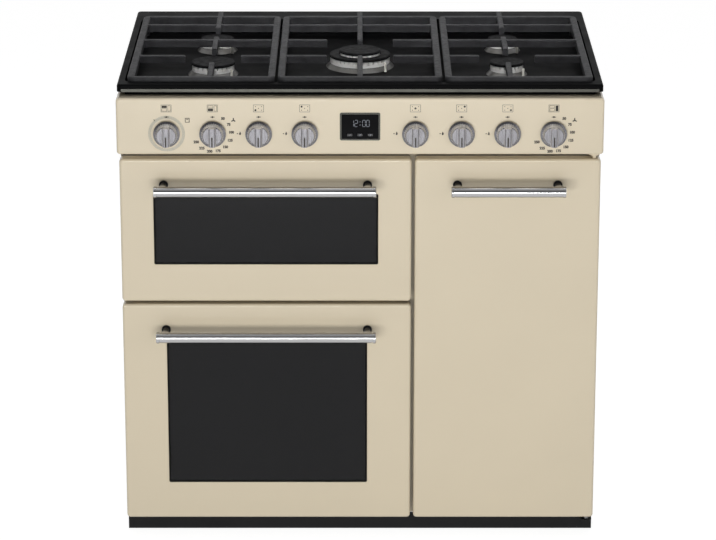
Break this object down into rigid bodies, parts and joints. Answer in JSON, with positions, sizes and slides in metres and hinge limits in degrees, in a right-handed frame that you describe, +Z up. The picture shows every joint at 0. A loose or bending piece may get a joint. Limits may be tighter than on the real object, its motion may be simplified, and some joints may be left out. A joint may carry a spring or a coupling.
{
  "type": "range cooker",
  "caption": "Freestanding range cooker: gas hob with cast pan stands, knob panel with clock, two drop-down oven doors with windows, a tall side-hung door, black plinth.",
  "frame": {"origin": "on the floor, under the middle of the overall box, which runs from the handle bars to the back edge", "axes": "+Z up, +Y towards the back, so the doors face -Y, and +X to the viewer's right"},
  "size_m": [0.9, 0.6608, 0.907],
  "materials": {
    "cream_enamel": "gloss cream vitreous enamel",
    "black_enamel": "gloss black vitreous enamel",
    "oven_enamel": "speckled dark grey easy-clean enamel",
    "black_paint": "satin black paint",
    "galvanised": "galvanised sheet",
    "bright_wire": "chromed wire",
    "hinge_steel": "zinc plated steel",
    "element_steel": "heat-darkened steel sheath",
    "satin_silver": "satin brushed aluminium",
    "burner_alloy": "cast aluminium",
    "cast_iron": "matt black enamelled cast iron",
    "brass": "turned brass",
    "window_glass": "tinted toughened glass",
    "clock_glass": "black glass",
    "lamp_glass": "clear lamp glass",
    "mineral_wool": "mineral wool",
    "seal": "woven glass seal",
    "ceramic": "glazed ceramic",
    "black_plastic": "moulded plastic",
    "key_plastic": "moulded key"
  },
  "bodies": {
    "cooker": {"base_tray": "galvanised", "burner_caps": "black_enamel", "burner_crowns": "burner_alloy", "burner_cups": "burner_alloy", "clock_module": "clock_glass", "control_panel": "cream_enamel", "door_seals": "seal", "fan_covers": "oven_enamel", "fan_motors": "galvanised", "front_frame": "cream_enamel", "gas_rail": "galvanised", "gas_valves": "brass", "heating_elements": "element_steel", "hinge_arms": "hinge_steel", "hob_top": "black_enamel", "levelling_feet": "black_plastic", "main_oven_cavity": "oven_enamel", "oven_insulation": "mineral_wool", "oven_lamps": "lamp_glass", "oven_shelves": "bright_wire", "oven_switches": "black_plastic", "plinth": "black_paint", "rear_panel": "galvanised", "shelf_racks": "bright_wire", "side_panels": "cream_enamel", "spark_igniters": "ceramic", "tall_oven_cavity": "oven_enamel", "upper_oven_cavity": "oven_enamel"},
    "clock_button_left": {"clock_button_left": "key_plastic"},
    "clock_button_middle": {"clock_button_middle": "key_plastic"},
    "clock_button_right": {"clock_button_right": "key_plastic"},
    "gas_knob_front_left": {"gas_knob_front_left": "satin_silver"},
    "gas_knob_front_right": {"gas_knob_front_right": "satin_silver"},
    "gas_knob_rear_left": {"gas_knob_rear_left": "satin_silver"},
    "gas_knob_rear_right": {"gas_knob_rear_right": "satin_silver"},
    "gas_knob_wok": {"gas_knob_wok": "satin_silver"},
    "gas_spindle_front_left": {"gas_spindle_front_left": "hinge_steel"},
    "gas_spindle_front_right": {"gas_spindle_front_right": "hinge_steel"},
    "gas_spindle_rear_left": {"gas_spindle_rear_left": "hinge_steel"},
    "gas_spindle_rear_right": {"gas_spindle_rear_right": "hinge_steel"},
    "gas_spindle_wok": {"gas_spindle_wok": "hinge_steel"},
    "lower_door": {"lower_door_glass": "window_glass", "lower_door_handle": "satin_silver", "lower_door_liner": "oven_enamel", "lower_door_skin": "cream_enamel"},
    "main_oven_fan": {"main_oven_fan": "galvanised"},
    "oven_knob_main": {"oven_knob_main": "satin_silver"},
    "oven_knob_tall": {"oven_knob_tall": "satin_silver"},
    "oven_knob_upper": {"oven_knob_upper": "satin_silver"},
    "pan_stand_centre": {"pan_stand_centre": "cast_iron"},
    "pan_stand_left": {"pan_stand_left": "cast_iron"},
    "pan_stand_right": {"pan_stand_right": "cast_iron"},
    "tall_door": {"tall_door_handle": "satin_silver", "tall_door_liner": "oven_enamel", "tall_door_skin": "cream_enamel"},
    "tall_oven_fan": {"tall_oven_fan": "galvanised"},
    "upper_door": {"upper_door_glass": "window_glass", "upper_door_handle": "satin_silver", "upper_door_liner": "oven_enamel", "upper_door_skin": "cream_enamel"}
  },
  "joints": [
    {"name": "upper_door_hinge", "type": "hinge", "parent": "cooker", "child": "upper_door", "pos_m": [-0.176, -0.25762, 0.4885], "axis": [1, 0, 0], "range_deg": [0, 90], "stiffness_Nm_per_rad": 1.6, "springref_deg": -34.38},
    {"name": "lower_door_hinge", "type": "hinge", "parent": "cooker", "child": "lower_door", "pos_m": [-0.176, -0.25762, 0.051], "axis": [1, 0, 0], "range_deg": [0, 85], "stiffness_Nm_per_rad": 3, "springref_deg": -34.38},
    {"name": "tall_door_hinge", "type": "hinge", "parent": "cooker", "child": "tall_door", "pos_m": [0.436, -0.25762, 0.39675], "axis": [0, 0, 1], "range_deg": [0, 100]},
    {"name": "oven_knob_upper_turn", "type": "hinge", "parent": "cooker", "child": "oven_knob_upper", "pos_m": [-0.357, -0.29563, 0.8105], "axis": [0, 1, 0], "range_deg": [0, 270]},
    {"name": "oven_knob_main_turn", "type": "hinge", "parent": "cooker", "child": "oven_knob_main", "pos_m": [-0.272, -0.29563, 0.8105], "axis": [0, 1, 0], "range_deg": [0, 270]},
    {"name": "oven_knob_tall_turn", "type": "hinge", "parent": "cooker", "child": "oven_knob_tall", "pos_m": [0.357, -0.29563, 0.8105], "axis": [0, 1, 0], "range_deg": [0, 270]},
    {"name": "gas_spindle_front_left_turn", "type": "hinge", "parent": "cooker", "child": "gas_spindle_front_left", "pos_m": [-0.187, -0.29563, 0.8105], "axis": [0, -1, 0], "range_deg": [0, 210]},
    {"name": "gas_knob_front_left_push", "type": "slide", "parent": "gas_spindle_front_left", "child": "gas_knob_front_left", "axis": [0, 1, 0], "range_m": [0, 0.0035], "stiffness_N_per_m": 1500, "springref_m": -0.001},
    {"name": "gas_spindle_rear_left_turn", "type": "hinge", "parent": "cooker", "child": "gas_spindle_rear_left", "pos_m": [-0.102, -0.29563, 0.8105], "axis": [0, -1, 0], "range_deg": [0, 210]},
    {"name": "gas_knob_rear_left_push", "type": "slide", "parent": "gas_spindle_rear_left", "child": "gas_knob_rear_left", "axis": [0, 1, 0], "range_m": [0, 0.0035], "stiffness_N_per_m": 1500, "springref_m": -0.001},
    {"name": "gas_spindle_wok_turn", "type": "hinge", "parent": "cooker", "child": "gas_spindle_wok", "pos_m": [0.102, -0.29563, 0.8105], "axis": [0, -1, 0], "range_deg": [0, 210]},
    {"name": "gas_knob_wok_push", "type": "slide", "parent": "gas_spindle_wok", "child": "gas_knob_wok", "axis": [0, 1, 0], "range_m": [0, 0.0035], "stiffness_N_per_m": 1500, "springref_m": -0.001},
    {"name": "gas_spindle_rear_right_turn", "type": "hinge", "parent": "cooker", "child": "gas_spindle_rear_right", "pos_m": [0.187, -0.29563, 0.8105], "axis": [0, -1, 0], "range_deg": [0, 210]},
    {"name": "gas_knob_rear_right_push", "type": "slide", "parent": "gas_spindle_rear_right", "child": "gas_knob_rear_right", "axis": [0, 1, 0], "range_m": [0, 0.0035], "stiffness_N_per_m": 1500, "springref_m": -0.001},
    {"name": "gas_spindle_front_right_turn", "type": "hinge", "parent": "cooker", "child": "gas_spindle_front_right", "pos_m": [0.272, -0.29563, 0.8105], "axis": [0, -1, 0], "range_deg": [0, 210]},
    {"name": "gas_knob_front_right_push", "type": "slide", "parent": "gas_spindle_front_right", "child": "gas_knob_front_right", "axis": [0, 1, 0], "range_m": [0, 0.0035], "stiffness_N_per_m": 1500, "springref_m": -0.001},
    {"name": "clock_button_left_press", "type": "slide", "parent": "cooker", "child": "clock_button_left", "axis": [0, 1, 0], "range_m": [0, 0.0012], "stiffness_N_per_m": 800, "springref_m": -0.0005},
    {"name": "clock_button_middle_press", "type": "slide", "parent": "cooker", "child": "clock_button_middle", "axis": [0, 1, 0], "range_m": [0, 0.0012], "stiffness_N_per_m": 800, "springref_m": -0.0005},
    {"name": "clock_button_right_press", "type": "slide", "parent": "cooker", "child": "clock_button_right", "axis": [0, 1, 0], "range_m": [0, 0.0012], "stiffness_N_per_m": 800, "springref_m": -0.0005},
    {"name": "pan_stand_left_lift", "type": "slide", "parent": "cooker", "child": "pan_stand_left", "axis": [0, 0, 1], "range_m": [0, 0.1]},
    {"name": "pan_stand_centre_lift", "type": "slide", "parent": "cooker", "child": "pan_stand_centre", "axis": [0, 0, 1], "range_m": [0, 0.1]},
    {"name": "pan_stand_right_lift", "type": "slide", "parent": "cooker", "child": "pan_stand_right", "axis": [0, 0, 1], "range_m": [0, 0.1]},
    {"name": "main_oven_fan_spin", "type": "hinge", "parent": "cooker", "child": "main_oven_fan", "pos_m": [-0.176, 0.19587, 0.25275], "axis": [0, 1, 0], "continuous": true},
    {"name": "tall_oven_fan_spin", "type": "hinge", "parent": "cooker", "child": "tall_oven_fan", "pos_m": [0.275, 0.19587, 0.39475], "axis": [0, 1, 0], "continuous": true}
  ]
}
